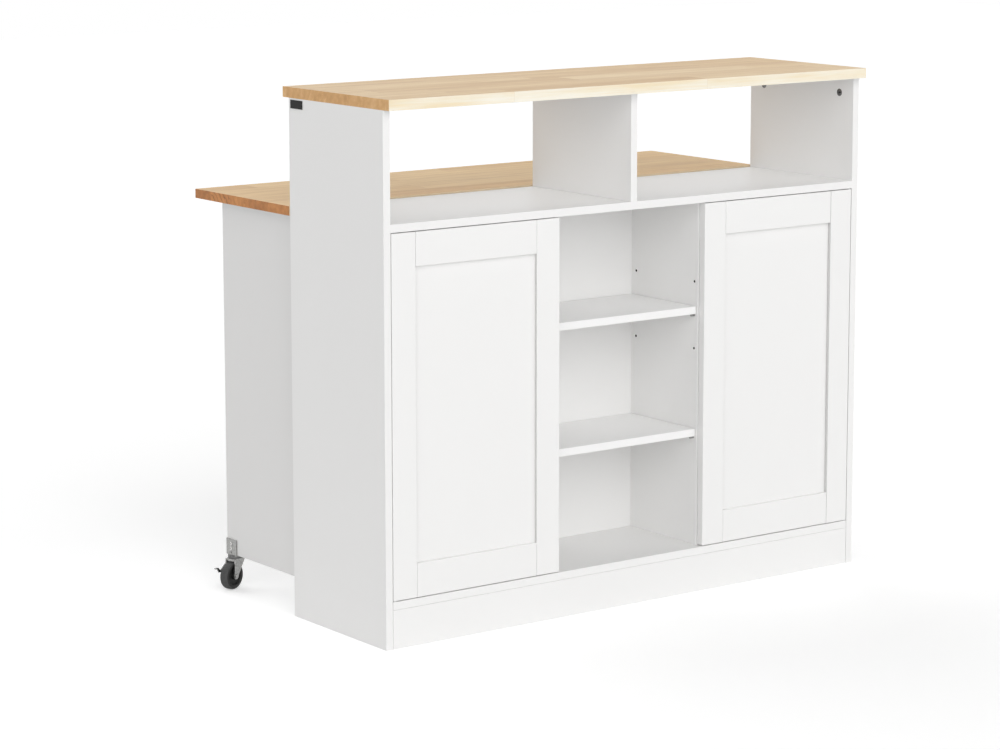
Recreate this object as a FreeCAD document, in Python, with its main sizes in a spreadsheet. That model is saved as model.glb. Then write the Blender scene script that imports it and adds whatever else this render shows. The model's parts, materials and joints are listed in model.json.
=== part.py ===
import FreeCAD, Part
import os
import re

# Kitchen island: a bar cabinet standing on its plinth, with a drop-leaf worktop on two gate legs behind it.
# Millimetres, +Z up, +Y from the doors towards the worktop, origin under the middle of the whole island.

driving = {
    # Bar cabinet
    "island_width": 1150,
    "board": 15,
    "panel_depth": 311,
    "panel_height": 993,
    "bar_thickness": 20,
    "bar_front_overhang": 20,
    "bar_rear_overhang": 21,
    "counter_underside": 771,
    "plinth_height": 74,
    "niche_width": 350,
    "niche_depth": 224,
    "back_thickness": 5,
    # Loose shelves and their pins
    "shelf_end_gap": 1,
    "shelf_setback": 22,
    "niche_upper_level": 550,
    "niche_lower_level": 307,
    "cupboard_level": 420,
    "pin_radius": 2.5,
    "pin_length": 16,
    "pin_seat": 7,
    "pin_front_setback": 28,
    "pin_rear_margin": 15,
    "pin_pitch": 66,
    # Cam fittings under the bar top
    "cam_radius": 7.5,
    "cam_depth": 12,
    "cam_drop": 32,
    "cam_edge_margin": 41,
    "cam_bolt_radius": 3.5,
    "cam_bolt_seat": 11,
    # Blank tag on the left side panel
    "tag_length": 40,
    "tag_height": 16,
    "tag_thickness": 1.5,
    "tag_drop": 3,
    "tag_rear_margin": 7,
    # Doors and their pivots
    "door_thickness": 16,
    "door_side_gap": 2,
    "door_end_gap": 1.5,
    "door_reveal": 2,
    "door_back_gap": 1.5,
    "stile_width": 53,
    "rail_height": 64,
    "panel_recess": 7,
    "door_panel_thickness": 5,
    "groove_depth": 8,
    "groove_clearance": 0.5,
    "pivot_inset": 4,
    "pivot_radius": 1.75,
    "pivot_seat": 8,
    "pivot_grip": 25,
    "running_clearance": 0.06,
    "washer_radius": 3.6,
    # Push latches
    "latch_width": 16,
    "latch_height": 20,
    "latch_length": 44,
    "latch_inset": 14,
    "latch_gap": 4,
    "plunger_radius": 4,
    "plunger_length": 30,
    "plunger_room": 5,
    "plunger_tip_gap": 0.3,
    # Drop-leaf worktop and its gate legs
    "worktop_thickness": 18,
    "worktop_depth": 342,
    "leaf_gap": 3,
    "gate_overlap": 53,
    "gate_length": 330,
    "gate_clearance": 69,
    "gate_top_gap": 0.3,
    # Butt hinges
    "hinge_length": 60,
    "hinge_offset": 1,
    "hinge_leaf_width": 30,
    "hinge_leaf_thickness": 1.5,
    "hinge_leaf_notch": 2.7,
    "hinge_barrel_radius": 2.4,
    "hinge_pin_radius": 1.2,
    "hinge_end_gap": 0.3,
    "gate_hinge_lead": 3,
    "gate_hinge_margin": 100,
    "worktop_hinge_pitch": 180,
    # Casters
    "plate_width": 37,
    "plate_rise": 30,
    "plate_thickness": 2.5,
    "raceway_radius": 15.5,
    "raceway_height": 5,
    "swivel_gap": 0.4,
    "crown_thickness": 3,
    "kingpin_radius": 5,
    "leg_thickness": 2.5,
    "leg_top_front": 15,
    "leg_top_rear": 17,
    "leg_foot_radius": 6.2,
    "wheel_radius": 27,
    "wheel_width": 18,
    "wheel_side_gap": 1,
    "caster_trail": 14,
    "axle_radius": 3,
    "axle_head_radius": 4.4,
    "axle_head_height": 2,
    "screw_radius": 1.75,
    "screw_head_radius": 3.4,
    "screw_head_height": 1.4,
    "screw_depth": 10,
    "screw_first_rise": 11.5,
    "screw_row_pitch": 9.5,
    "spare_hole_rise": 3.5,
    # Brake pedals: a shoe over the tread, turned by a lever beside the fork
    "pedal_pin_radius": 1.4,
    "pedal_pivot_offset": 6,
    "pedal_pivot_rise": 1.6,
    "shoe_radius": 2.2,
    "shoe_width": 14,
    "shoe_length": 9,
    "shoe_thickness": 2,
    "lever_side_gap": 0.5,
    "lever_thickness": 2,
    "lever_reach": 27,
    "lever_drop": 20,
    "lever_width": 9,
    "tip_reach": 8,
    "tip_rise": 10,
    "tip_width": 5,
    "pad_length": 3,
    "pad_width": 5,
    "pad_thickness": 2,
    # Extra reach of every cutting solid past the face it opens
    "cut_overrun": 1,
}

doc = FreeCAD.newDocument("kitchen_island")
sheet = doc.addObject("Spreadsheet::Sheet", "sizes")
for row, (name, value) in enumerate(driving.items(), start=1):
    sheet.set(f"A{row}", name)
    sheet.set(f"B{row}", str(value))
    sheet.setAlias(f"B{row}", name)
doc.recompute()

pieces = []


def bind(obj, prop, formula):
    """Bind a property to a formula written in the sheet's aliases."""
    words = re.compile(r"[a-z_]+")
    obj.setExpression(prop, words.sub(lambda word: f"sizes.{word.group()}", formula))


def place(obj, x, y, z):
    """Bind an object's position, keeping its rotation."""
    for axis, formula in zip("xyz", (x, y, z)):
        bind(obj, f"Placement.Base.{axis}", formula)


def box(name, x, y, z, length, width, height):
    """A board or block from its lowest corner."""
    solid = doc.addObject("Part::Box", name)
    bind(solid, "Length", length)
    bind(solid, "Width", width)
    bind(solid, "Height", height)
    place(solid, x, y, z)
    return solid


turns = {
    "x": FreeCAD.Rotation(FreeCAD.Vector(0, 1, 0), 90),
    "y": FreeCAD.Rotation(FreeCAD.Vector(1, 0, 0), -90),
    "z": FreeCAD.Rotation(),
}


def rod(name, axis, radius, length, x, y, z):
    """A cylinder along +X, +Y or +Z from the centre of its first end."""
    solid = doc.addObject("Part::Cylinder", name)
    bind(solid, "Radius", radius)
    bind(solid, "Height", length)
    solid.Placement = FreeCAD.Placement(FreeCAD.Vector(), turns[axis])
    place(solid, x, y, z)
    return solid


def cut(name, base, tool):
    """A solid with another taken out of it."""
    result = doc.addObject("Part::Cut", name)
    result.Base = base
    result.Tool = tool
    return result


def fuse(name, solids):
    """Several solids that are one piece."""
    result = doc.addObject("Part::MultiFuse", name)
    result.Shapes = solids
    return result


def group(name, solids):
    """Separate solids kept together."""
    result = doc.addObject("Part::Compound", name)
    result.Links = solids
    return result


def piece(obj):
    """Mark an object as a finished sub-part of the island."""
    pieces.append(obj)
    return obj


def from_side(side, inset, length="0"):
    """Lowest x of something that starts an inset in from one side's outer face."""
    if side == "left":
        return f"({inset}) - island_width / 2"
    return f"island_width / 2 - ({inset}) - ({length})"


sides = ("left", "right")

# Levels and planes shared by many pieces
front_y = "(bar_front_overhang - panel_depth - leaf_gap - worktop_depth) / 2"
leaf_y = f"({front_y} + panel_depth + leaf_gap)"
gate_y = f"({leaf_y} - leaf_gap - gate_overlap)"
gate_rear_y = f"({gate_y} + gate_length)"
inner_width = "(island_width - 2 * board)"
bottom_top = "(plinth_height + board)"
counter_top = "(counter_underside + board)"
bay_height = f"(counter_underside - {bottom_top})"
divider_y = f"({front_y} + door_thickness + door_back_gap)"
back_y = f"({front_y} + niche_depth)"
divider_inset = "(island_width / 2 - niche_width / 2 - board)"
pin_rows = {
    "front": f"{front_y} + pin_front_setback",
    "rear": f"{back_y} - pin_rear_margin",
}

# Shelf pins: each shelf lies on four, and two spare pairs of holes flank the upper niche shelf
pin_solids = []


def pin_line(name, row, level, first_x, length):
    """A pin, or the hole for one, along X with its top at a shelf's underside."""
    return rod(name, "x", "pin_radius", length, first_x, pin_rows[row], f"{level} - pin_radius")


def pin_holes(name, levels, first_x):
    """Holes of both rows at several levels, open on the face that the pins stand out of."""
    holes = []
    for index, level in enumerate(levels):
        for row in pin_rows:
            holes.append(pin_line(f"{name}_{index}_{row}", row, level, first_x, "pin_seat"))
    return holes


niche_levels = [
    "niche_upper_level",
    "niche_lower_level",
    "niche_upper_level + pin_pitch",
    "niche_upper_level - pin_pitch",
]

# Cam fittings: a lock in each side panel's inner face draws a bolt down from the bar top
cam_level = "(panel_height - cam_drop)"
cam_rows = {
    "front": f"{front_y} + cam_edge_margin",
    "rear": f"{front_y} + panel_depth - cam_edge_margin",
}
bolt_foot = f"({cam_level} + cam_radius)"
cam_solids = []
bolt_solids = []


def cam_lock(name, side, row):
    """The round lock, flush with the panel's inner face."""
    x = from_side(side, "board - cam_depth", "cam_depth")
    return rod(name, "x", "cam_radius", "cam_depth", x, cam_rows[row], cam_level)


def cam_bolt(name, side, row):
    """The bolt from the lock up into the bar top."""
    length = "cam_drop - cam_radius + cam_bolt_seat"
    return rod(name, "z", "cam_bolt_radius", length, from_side(side, "board / 2"), cam_rows[row], bolt_foot)


# Butt hinges: a leaf on each board and three knuckles on one pin.
# Each is worked out about its pin along Z; a leaf lies on the +X or -X side and runs to +Y or -Y.
leaf_back = "(hinge_offset + hinge_leaf_thickness)"
hinge_foot = "(0 - hinge_length / 2)"
knuckle_length = "(hinge_length / 3)"
knuckles = {
    "fixed": [(hinge_foot, knuckle_length), (f"{knuckle_length} / 2", knuckle_length)],
    "moving": [(f"hinge_end_gap - {knuckle_length} / 2", f"{knuckle_length} - 2 * hinge_end_gap")],
}


def seated(obj, spot):
    """Carry a piece from the origin to its turn and place on the island."""
    obj.Placement = FreeCAD.Placement(FreeCAD.Vector(), spot["turn"])
    place(obj, spot["x"], spot["y"], spot["z"])
    return obj


def stretch(sign, near, far):
    """Lowest value and length of the stretch between two distances on one side of the pin."""
    low = near if sign > 0 else f"0 - ({far})"
    return low, f"{far} - ({near})"


def hinge_screws(name, hinge, kind):
    """Two countersunk screws through a leaf into its board, which are also the holes for them."""
    side, run = hinge[kind]
    x, length = stretch(side, "hinge_offset", f"{leaf_back} + screw_depth")
    y, reach = stretch(run, "0", "hinge_leaf_width")
    shanks = []
    for end, z in {"lower": "0 - hinge_length / 4", "upper": "hinge_length / 4"}.items():
        shanks.append(rod(f"{name}_{end}", "x", "screw_radius", length, x, f"{y} + ({reach}) / 2", z))
    return seated(group(name, shanks), hinge)


def hinge_leaf(name, hinge, kind, screws):
    """A leaf with its knuckles; the fixed ones grip the pin and the moving one runs on it."""
    side, run = hinge[kind]
    x, thickness = stretch(side, "hinge_offset", leaf_back)
    y, width = stretch(run, "hinge_leaf_notch", "hinge_leaf_width")
    solids = [box(f"{name}_plate", x, y, hinge_foot, thickness, width, "hinge_length")]
    tab_y, tab_width = stretch(run, "0", "hinge_leaf_notch")
    for index, (z, length) in enumerate(knuckles[kind]):
        solids.append(box(f"{name}_tab_{index}", x, tab_y, z, thickness, tab_width, length))
        solids.append(rod(f"{name}_knuckle_{index}", "z", "hinge_barrel_radius", length, "0", "0", z))
    clearance = "0" if kind == "fixed" else "running_clearance"
    bore = rod(f"{name}_bore", "z", f"hinge_pin_radius + {clearance}", "hinge_length", "0", "0", hinge_foot)
    leaf = seated(cut(f"{name}_leaf", fuse(f"{name}_body", solids), bore), hinge)
    return cut(name, leaf, screws)


# Each gate turns on two hinges at its near edge, and the worktop on three under its joint with the counter shelf
gate_hinges = {}
for side, turn in zip(sides, (0, 180)):
    levels = {
        "lower": "gate_clearance + gate_hinge_margin",
        "upper": "counter_underside - gate_hinge_margin",
    }
    gate_hinges[side] = []
    for level, z in levels.items():
        gate_hinges[side].append({
            "name": f"{side}_gate_{level}",
            "x": from_side(side, f"board + {leaf_back}"),
            "y": f"{gate_y} - gate_hinge_lead",
            "z": z,
            "turn": FreeCAD.Rotation(FreeCAD.Vector(0, 1, 0), turn),
            "fixed": (-1, 1),
            "moving": (1, 1),
        })
worktop_hinges = []
for where, x in {"left": "0 - worktop_hinge_pitch", "middle": "0", "right": "worktop_hinge_pitch"}.items():
    worktop_hinges.append({
        "name": f"worktop_{where}",
        "x": x,
        "y": f"{leaf_y} - leaf_gap / 2",
        "z": f"counter_underside - {leaf_back}",
        "turn": FreeCAD.Rotation(FreeCAD.Vector(1, 0, 1), 180),
        "fixed": (1, 1),
        "moving": (1, -1),
    })
fixed_leaves = []
pin_rods = []
cabinet_screws = {}
for owner, hinges in {"left": gate_hinges["left"], "right": gate_hinges["right"], "counter": worktop_hinges}.items():
    cabinet_screws[owner] = []
    for hinge in hinges:
        screws = hinge_screws(f"{hinge['name']}_fixed_screws", hinge, "fixed")
        fixed_leaves.append(hinge_leaf(f"{hinge['name']}_fixed", hinge, "fixed", screws))
        cabinet_screws[owner].append(screws)
        pin = rod(f"{hinge['name']}_pin", "z", "hinge_pin_radius", "hinge_length", "0", "0", hinge_foot)
        pin_rods.append(seated(group(f"{hinge['name']}_pin_place", [pin]), hinge))
piece(group("fixed_hinge_leaves", fixed_leaves))
piece(group("hinge_pins", pin_rods))
piece(group("cabinet_hinge_screws", [screws for owned in cabinet_screws.values() for screws in owned]))


def moving_leaves(name, hinges):
    """The moving leaves of one body and their screws, which its board is bored for."""
    leaves = []
    screws = []
    for hinge in hinges:
        screws.append(hinge_screws(f"{hinge['name']}_moving_screws", hinge, "moving"))
        leaves.append(hinge_leaf(f"{hinge['name']}_moving", hinge, "moving", screws[-1]))
    piece(group(f"{name}_hinge_leaves", leaves))
    piece(group(f"{name}_hinge_screws", screws))
    return screws


# Side panels, with cam bores, hinge screws and the outer ends of the cupboard shelves' pin rows
bar_bores = []
for side in sides:
    blank = box(f"{side}_side_panel_blank", from_side(side, "0", "board"), front_y, "0",
                "board", "panel_depth", "panel_height")
    bores = []
    for row in cam_rows:
        bores.append(cam_lock(f"{side}_{row}_cam_bore", side, row))
        bores.append(cam_bolt(f"{side}_{row}_bolt_bore", side, row))
        cam_solids.append(cam_lock(f"{side}_{row}_cam", side, row))
        bolt_solids.append(cam_bolt(f"{side}_{row}_bolt", side, row))
        bar_bores.append(cam_bolt(f"{side}_{row}_bar_bore", side, row))
    seat_x = from_side(side, "board - pin_seat", "pin_seat")
    bores += pin_holes(f"{side}_panel_pin_hole", ["cupboard_level"], seat_x)
    bored = cut(f"{side}_side_panel_bored", blank, fuse(f"{side}_side_panel_bores", bores))
    piece(cut(f"{side}_side_panel", bored, group(f"{side}_side_panel_screws", cabinet_screws[side])))
piece(group("cam_locks", cam_solids))
piece(group("cam_bolts", bolt_solids))

# Bar top, flush with the side panels at both ends
bar_blank = box("bar_top_blank", from_side("left", "0"), f"{front_y} - bar_front_overhang", "panel_height",
                "island_width", "panel_depth + bar_front_overhang + bar_rear_overhang", "bar_thickness")
piece(cut("bar_top", bar_blank, group("bar_top_bores", bar_bores)))

# Upper divider between the two open compartments
piece(box("upper_divider", "0 - board / 2", front_y, counter_top,
          "board", "panel_depth", f"panel_height - {counter_top}"))

# Plinth under the front of the bottom board
piece(box("plinth", from_side("left", "board"), front_y, "0", inner_width, "board", "plinth_height"))

# Door pivots: a pin at each end of the hinge stile turns in the counter shelf or the bottom board
pivot_inset_x = "(board + door_side_gap + pivot_inset)"
pivot_y = f"({front_y} + pivot_inset)"
door_bottom = f"({bottom_top} + door_end_gap)"
door_height = f"({bay_height} - 2 * door_end_gap)"
door_top = "(counter_underside - door_end_gap)"
socket_radius = "pivot_radius + running_clearance"
socket_length = "pivot_seat + running_clearance"
bottom_sockets = []
counter_sockets = []
washer_solids = []
for side in sides:
    x = from_side(side, pivot_inset_x)
    bottom_sockets.append(rod(f"{side}_bottom_socket", "z", socket_radius, socket_length,
                              x, pivot_y, f"{bottom_top} - ({socket_length})"))
    counter_sockets.append(rod(f"{side}_counter_socket", "z", socket_radius, socket_length,
                               x, pivot_y, "counter_underside"))
    disc = rod(f"{side}_washer_disc", "z", "washer_radius", "door_end_gap", x, pivot_y, bottom_top)
    hole = rod(f"{side}_washer_hole", "z", socket_radius, "door_end_gap", x, pivot_y, bottom_top)
    washer_solids.append(cut(f"{side}_washer", disc, hole))
piece(group("pivot_washers", washer_solids))

# Bottom board and counter shelf, between the side panels
bottom_blank = box("bottom_board_blank", from_side("left", "board"), front_y, "plinth_height",
                   inner_width, "niche_depth + back_thickness", "board")
piece(cut("bottom_board", bottom_blank, group("bottom_board_sockets", bottom_sockets)))
counter_blank = box("counter_shelf_blank", from_side("left", "board"), front_y, "counter_underside",
                    inner_width, "panel_depth", "board")
counter_holes = group("counter_shelf_holes", counter_sockets + cabinet_screws["counter"])
piece(cut("counter_shelf", counter_blank, counter_holes))

# Back panel behind the cupboards and the niche
piece(box("back_panel", from_side("left", "board"), back_y, bottom_top,
          inner_width, "back_thickness", bay_height))

# Dividers beside the niche, with pin holes in both faces
for side in sides:
    blank = box(f"{side}_divider_blank", from_side(side, divider_inset, "board"), divider_y, bottom_top,
                "board", "niche_depth - door_thickness - door_back_gap", bay_height)
    niche_face_x = from_side(side, f"{divider_inset} + board - pin_seat", "pin_seat")
    cupboard_face_x = from_side(side, divider_inset, "pin_seat")
    holes = pin_holes(f"{side}_niche_pin_hole", niche_levels, niche_face_x)
    holes += pin_holes(f"{side}_divider_pin_hole", ["cupboard_level"], cupboard_face_x)
    piece(cut(f"{side}_divider", blank, group(f"{side}_divider_holes", holes)))


def loose_shelf(name, first_x, bay_width, level):
    """A shelf that lies on its four pins between two uprights."""
    y = f"{front_y} + shelf_setback"
    depth = "niche_depth - shelf_setback - shelf_end_gap"
    width = f"{bay_width} - 2 * shelf_end_gap"
    piece(box(name, f"{first_x} + shelf_end_gap", y, level, width, depth, "board"))
    ends = {
        "left": f"{first_x} - pin_seat",
        "right": f"{first_x} + {bay_width} + pin_seat - pin_length",
    }
    for row in pin_rows:
        for end, x in ends.items():
            pin_solids.append(pin_line(f"{name}_{end}_{row}_pin", row, level, x, "pin_length"))


cupboard_width = f"({divider_inset} - board)"
loose_shelf("niche_upper_shelf", "0 - niche_width / 2", "niche_width", "niche_upper_level")
loose_shelf("niche_lower_shelf", "0 - niche_width / 2", "niche_width", "niche_lower_level")
for side in sides:
    cupboard_x = from_side(side, "board", cupboard_width)
    loose_shelf(f"{side}_cupboard_shelf", cupboard_x, cupboard_width, "cupboard_level")
piece(group("shelf_pins", pin_solids))

# Blank tag on the left side panel's outer face
piece(box("blank_tag", from_side("left", "0 - tag_thickness"),
          f"{front_y} + panel_depth - tag_rear_margin - tag_length", "panel_height - tag_drop - tag_height",
          "tag_thickness", "tag_length", "tag_height"))

# Doors: stiles run full height, rails between them, and a thin panel sits in grooves all round
door_inset = "(board + door_side_gap)"
door_width = f"({divider_inset} + board - door_reveal - {door_inset})"
opening_width = f"({door_width} - 2 * stile_width)"
opening_height = f"({door_height} - 2 * rail_height)"
opening_inset = f"({door_inset} + stile_width)"
opening_bottom = f"({door_bottom} + rail_height)"
panel_margin = "(groove_depth - groove_clearance)"
panel_y = f"({front_y} + panel_recess)"
for side in sides:
    groove_x = from_side(side, f"{opening_inset} - groove_depth", f"{opening_width} + 2 * groove_depth")

    def groove(name):
        """The space that the grooves leave round the door's panel."""
        return box(f"{side}_{name}_groove", groove_x, panel_y, f"{opening_bottom} - groove_depth",
                   f"{opening_width} + 2 * groove_depth", "door_panel_thickness",
                   f"{opening_height} + 2 * groove_depth")

    stile_insets = {
        "hinge_stile": door_inset,
        "free_stile": f"{opening_inset} + {opening_width}",
    }
    pin_x = from_side(side, pivot_inset_x)
    pin_length_z = "pivot_grip + door_end_gap + pivot_seat"
    pin_feet = {
        "lower": f"{bottom_top} - pivot_seat",
        "upper": f"{door_top} - pivot_grip",
    }
    for name, inset in stile_insets.items():
        x = from_side(side, inset, "stile_width")
        blank = box(f"{side}_{name}_blank", x, front_y, door_bottom,
                    "stile_width", "door_thickness", door_height)
        cuts = groove(name)
        if name == "hinge_stile":
            bores = [cuts]
            for end, foot in pin_feet.items():
                bores.append(rod(f"{side}_{end}_pin_bore", "z", "pivot_radius", pin_length_z,
                                 pin_x, pivot_y, foot))
            cuts = fuse(f"{side}_hinge_stile_cuts", bores)
        piece(cut(f"{side}_door_{name}", blank, cuts))
    rail_levels = {
        "bottom_rail": door_bottom,
        "top_rail": f"{door_top} - rail_height",
    }
    for name, level in rail_levels.items():
        x = from_side(side, opening_inset, opening_width)
        blank = box(f"{side}_{name}_blank", x, front_y, level,
                    opening_width, "door_thickness", "rail_height")
        piece(cut(f"{side}_door_{name}", blank, groove(name)))
    panel_width = f"{opening_width} + 2 * {panel_margin}"
    panel_x = from_side(side, f"{opening_inset} - {panel_margin}", panel_width)
    piece(box(f"{side}_door_panel", panel_x, panel_y, f"{opening_bottom} - {panel_margin}",
              panel_width, "door_panel_thickness", f"{opening_height} + 2 * {panel_margin}"))
    pins = []
    for end, foot in pin_feet.items():
        pins.append(rod(f"{side}_{end}_pivot", "z", "pivot_radius", pin_length_z, pin_x, pivot_y, foot))
    piece(group(f"{side}_door_pivot_pins", pins))

# Push latches under the counter shelf, behind each door's free edge
latch_y = f"({front_y} + door_thickness + latch_gap)"
latch_level = "(counter_underside - latch_height / 2)"
plunger_y = f"({front_y} + door_thickness + plunger_tip_gap)"
for side in sides:
    latch_inset_x = f"({divider_inset} - latch_inset - latch_width)"
    blank = box(f"{side}_latch_blank", from_side(side, latch_inset_x, "latch_width"), latch_y,
                "counter_underside - latch_height", "latch_width", "latch_length", "latch_height")
    axis_x = from_side(side, f"{latch_inset_x} + latch_width / 2")
    bore_length = "plunger_length + plunger_room + cut_overrun"
    bore = rod(f"{side}_latch_bore", "y", "plunger_radius + running_clearance", bore_length,
               axis_x, f"{latch_y} - cut_overrun", latch_level)
    piece(cut(f"{side}_latch_housing", blank, bore))
    piece(rod(f"{side}_latch_plunger", "y", "plunger_radius", "plunger_length",
              axis_x, plunger_y, latch_level))

# Casters: a bracket wraps the lower edge of a board, and the fork swivels under it.
# Each is worked out about its swivel axis, with the bracket's plate on the -X face of the board.
plate_x = "(0 - board / 2 - plate_thickness)"
race_bottom = "(gate_clearance - plate_thickness - raceway_height)"
crown_top = f"({race_bottom} - swivel_gap)"
fork_gap = "(wheel_width / 2 + wheel_side_gap)"
wheel_x = "(0 - caster_trail)"
pedal_x = "(0 - pedal_pivot_offset)"
pedal_z = "(2 * wheel_radius + pedal_pivot_rise)"
fork_width = f"(2 * {fork_gap} + 2 * leg_thickness)"
race_length = "(raceway_height + plate_thickness)"
shank_length = "(plate_thickness + screw_depth)"
lever_inner = f"({fork_width} / 2 + lever_side_gap)"
lever_outer = f"({lever_inner} + lever_thickness)"


def cross_rod(name, radius, length, x, z):
    """A rod along Y, centred on the caster's middle plane."""
    return rod(name, "y", radius, length, x, f"0 - ({length}) / 2", z)


def screw_levels():
    """Heights of a bracket's two screws, one over the other."""
    for rise in ("screw_first_rise", "screw_first_rise + screw_row_pitch"):
        yield f"gate_clearance + {rise}"


def wedge(name, limits, y, foot_z, height, thickness):
    """A plate along Y that tapers or leans between its foot and its top; limits are x at the foot, then the top."""
    solid = doc.addObject("Part::Wedge", name)
    values = dict(zip(("Xmin", "Xmax", "X2min", "X2max"), limits))
    values.update({"Ymin": "0", "Ymax": height, "Zmin": "0", "Zmax": thickness, "Z2min": "0", "Z2max": thickness})
    for limit, formula in values.items():
        bind(solid, limit, formula)
    solid.Placement = FreeCAD.Placement(FreeCAD.Vector(), FreeCAD.Rotation(FreeCAD.Vector(1, 0, 0), 90))
    place(solid, "0", f"{y} + {thickness}", foot_z)
    return solid


def bracket(caster):
    """Plate, flange under the board and round raceway, bored for the kingpin and the screws."""
    name = caster["name"]
    plate = box(f"{name}_plate", plate_x, "0 - plate_width / 2", "gate_clearance - plate_thickness",
                "plate_thickness", "plate_width", "plate_thickness + plate_rise")
    flange = box(f"{name}_flange", plate_x, "0 - plate_width / 2", "gate_clearance - plate_thickness",
                 f"raceway_radius - {plate_x}", "plate_width", "plate_thickness")
    race = rod(f"{name}_race", "z", "raceway_radius", race_length, "0", "0", race_bottom)
    body = fuse(f"{name}_bracket_body", [plate, flange, race])
    holes = [rod(f"{name}_kingpin_bore", "z", "kingpin_radius + running_clearance",
                 f"{race_length} + 2 * cut_overrun", "0", "0", f"{race_bottom} - cut_overrun")]
    for index, z in enumerate(["gate_clearance + spare_hole_rise", *screw_levels()]):
        hole = f"{name}_plate_hole_{index}"
        holes.append(rod(hole, "x", "screw_radius", "plate_thickness", plate_x, "0", z))
    body = cut(f"{name}_caster_bracket", body, group(f"{name}_bracket_holes", holes))
    piece(seated(body, caster["fixed"]))


def fork(caster):
    """Crown with its kingpin and two tapered legs with round feet, bored for the axle and the pedal's pin."""
    name = caster["name"]
    crown = box(f"{name}_crown", "0 - leg_top_rear", f"0 - {fork_width} / 2", f"{crown_top} - crown_thickness",
                "leg_top_rear + leg_top_front", fork_width, "crown_thickness")
    kingpin_length = f"gate_clearance - running_clearance - {crown_top}"
    kingpin = rod(f"{name}_kingpin", "z", "kingpin_radius", kingpin_length, "0", "0", crown_top)
    solids = [crown, kingpin]
    leg_places = {
        "near": f"0 - {fork_gap} - leg_thickness",
        "far": fork_gap,
    }
    for which, y in leg_places.items():
        limits = (f"{wheel_x} - leg_foot_radius", f"{wheel_x} + leg_foot_radius", "0 - leg_top_rear", "leg_top_front")
        solids.append(wedge(f"{name}_{which}_leg", limits, y, "wheel_radius",
                            f"{crown_top} - wheel_radius", "leg_thickness"))
        solids.append(rod(f"{name}_{which}_foot", "y", "leg_foot_radius", "leg_thickness",
                          wheel_x, y, "wheel_radius"))
    bore_length = f"{fork_width} + 2 * cut_overrun"
    holes = [
        cross_rod(f"{name}_axle_bore", "axle_radius", bore_length, wheel_x, "wheel_radius"),
        cross_rod(f"{name}_pedal_bore", "pedal_pin_radius + running_clearance", bore_length, pedal_x, pedal_z),
    ]
    body = cut(f"{name}_caster_fork", fuse(f"{name}_fork_body", solids), group(f"{name}_fork_holes", holes))
    piece(seated(body, caster["turning"]))


def axle(caster):
    """Axle with a head at each end."""
    name = caster["name"]
    shaft = cross_rod(f"{name}_axle_shaft", "axle_radius", fork_width, wheel_x, "wheel_radius")
    head_places = {
        "near": f"0 - {fork_width} / 2 - axle_head_height",
        "far": f"{fork_width} / 2",
    }
    solids = [shaft]
    for which, y in head_places.items():
        solids.append(rod(f"{name}_axle_{which}_head", "y", "axle_head_radius", "axle_head_height",
                          wheel_x, y, "wheel_radius"))
    piece(seated(fuse(f"{name}_caster_axle", solids), caster["turning"]))


def wheel(caster):
    """Wheel with a running bore on the axle."""
    name = caster["name"]
    disc = cross_rod(f"{name}_wheel_disc", "wheel_radius", "wheel_width", wheel_x, "wheel_radius")
    bore = cross_rod(f"{name}_wheel_bore", "axle_radius + running_clearance", "wheel_width + 2 * cut_overrun",
                     wheel_x, "wheel_radius")
    piece(seated(cut(f"{name}_caster_wheel", disc, bore), caster["turning"]))


def pedal(caster):
    """Brake pedal: a pin through the fork carries the shoe between the legs and a bent lever outside one of them."""
    name = caster["name"]
    hand = caster["lever_hand"]
    pin_y, pin_span = stretch(hand, f"0 - {fork_width} / 2", lever_outer)
    pin = rod(f"{name}_pedal_pin", "y", "pedal_pin_radius", pin_span, pedal_x, pin_y, pedal_z)
    barrel = cross_rod(f"{name}_shoe_barrel", "shoe_radius", "shoe_width", pedal_x, pedal_z)
    shoe = box(f"{name}_shoe", f"{pedal_x} - shoe_length", "0 - shoe_width / 2", pedal_z,
               "shoe_length", "shoe_width", "shoe_thickness")
    lever_y = stretch(hand, lever_inner, lever_outer)[0]
    boss = rod(f"{name}_lever_boss", "y", "lever_width / 2", "lever_thickness", pedal_x, lever_y, pedal_z)
    bend_x = f"({pedal_x} - lever_reach)"
    bend_z = f"({pedal_z} - lever_drop)"
    tip_x = f"({bend_x} - tip_reach)"
    limits = (f"{bend_x} - lever_width / 2", f"{bend_x} + lever_width / 2",
              f"{pedal_x} - lever_width / 2", f"{pedal_x} + lever_width / 2")
    arm = wedge(f"{name}_lever_arm", limits, lever_y, bend_z, "lever_drop", "lever_thickness")
    limits = (f"{bend_x} - lever_width / 2", f"{bend_x} + lever_width / 2",
              f"{tip_x} - tip_width / 2", f"{tip_x} + tip_width / 2")
    tip = wedge(f"{name}_lever_tip", limits, lever_y, bend_z, "tip_rise", "lever_thickness")
    pad_y, pad_span = stretch(hand, lever_inner, f"{lever_inner} + pad_width")
    pad = box(f"{name}_lever_pad", f"{tip_x} - tip_width / 2 - pad_length", pad_y,
              f"{bend_z} + tip_rise - pad_thickness", "tip_width + pad_length", pad_span, "pad_thickness")
    body = fuse(f"{name}_brake_pedal", [pin, barrel, shoe, boss, arm, tip, pad])
    piece(seated(body, caster["turning"]))


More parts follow.
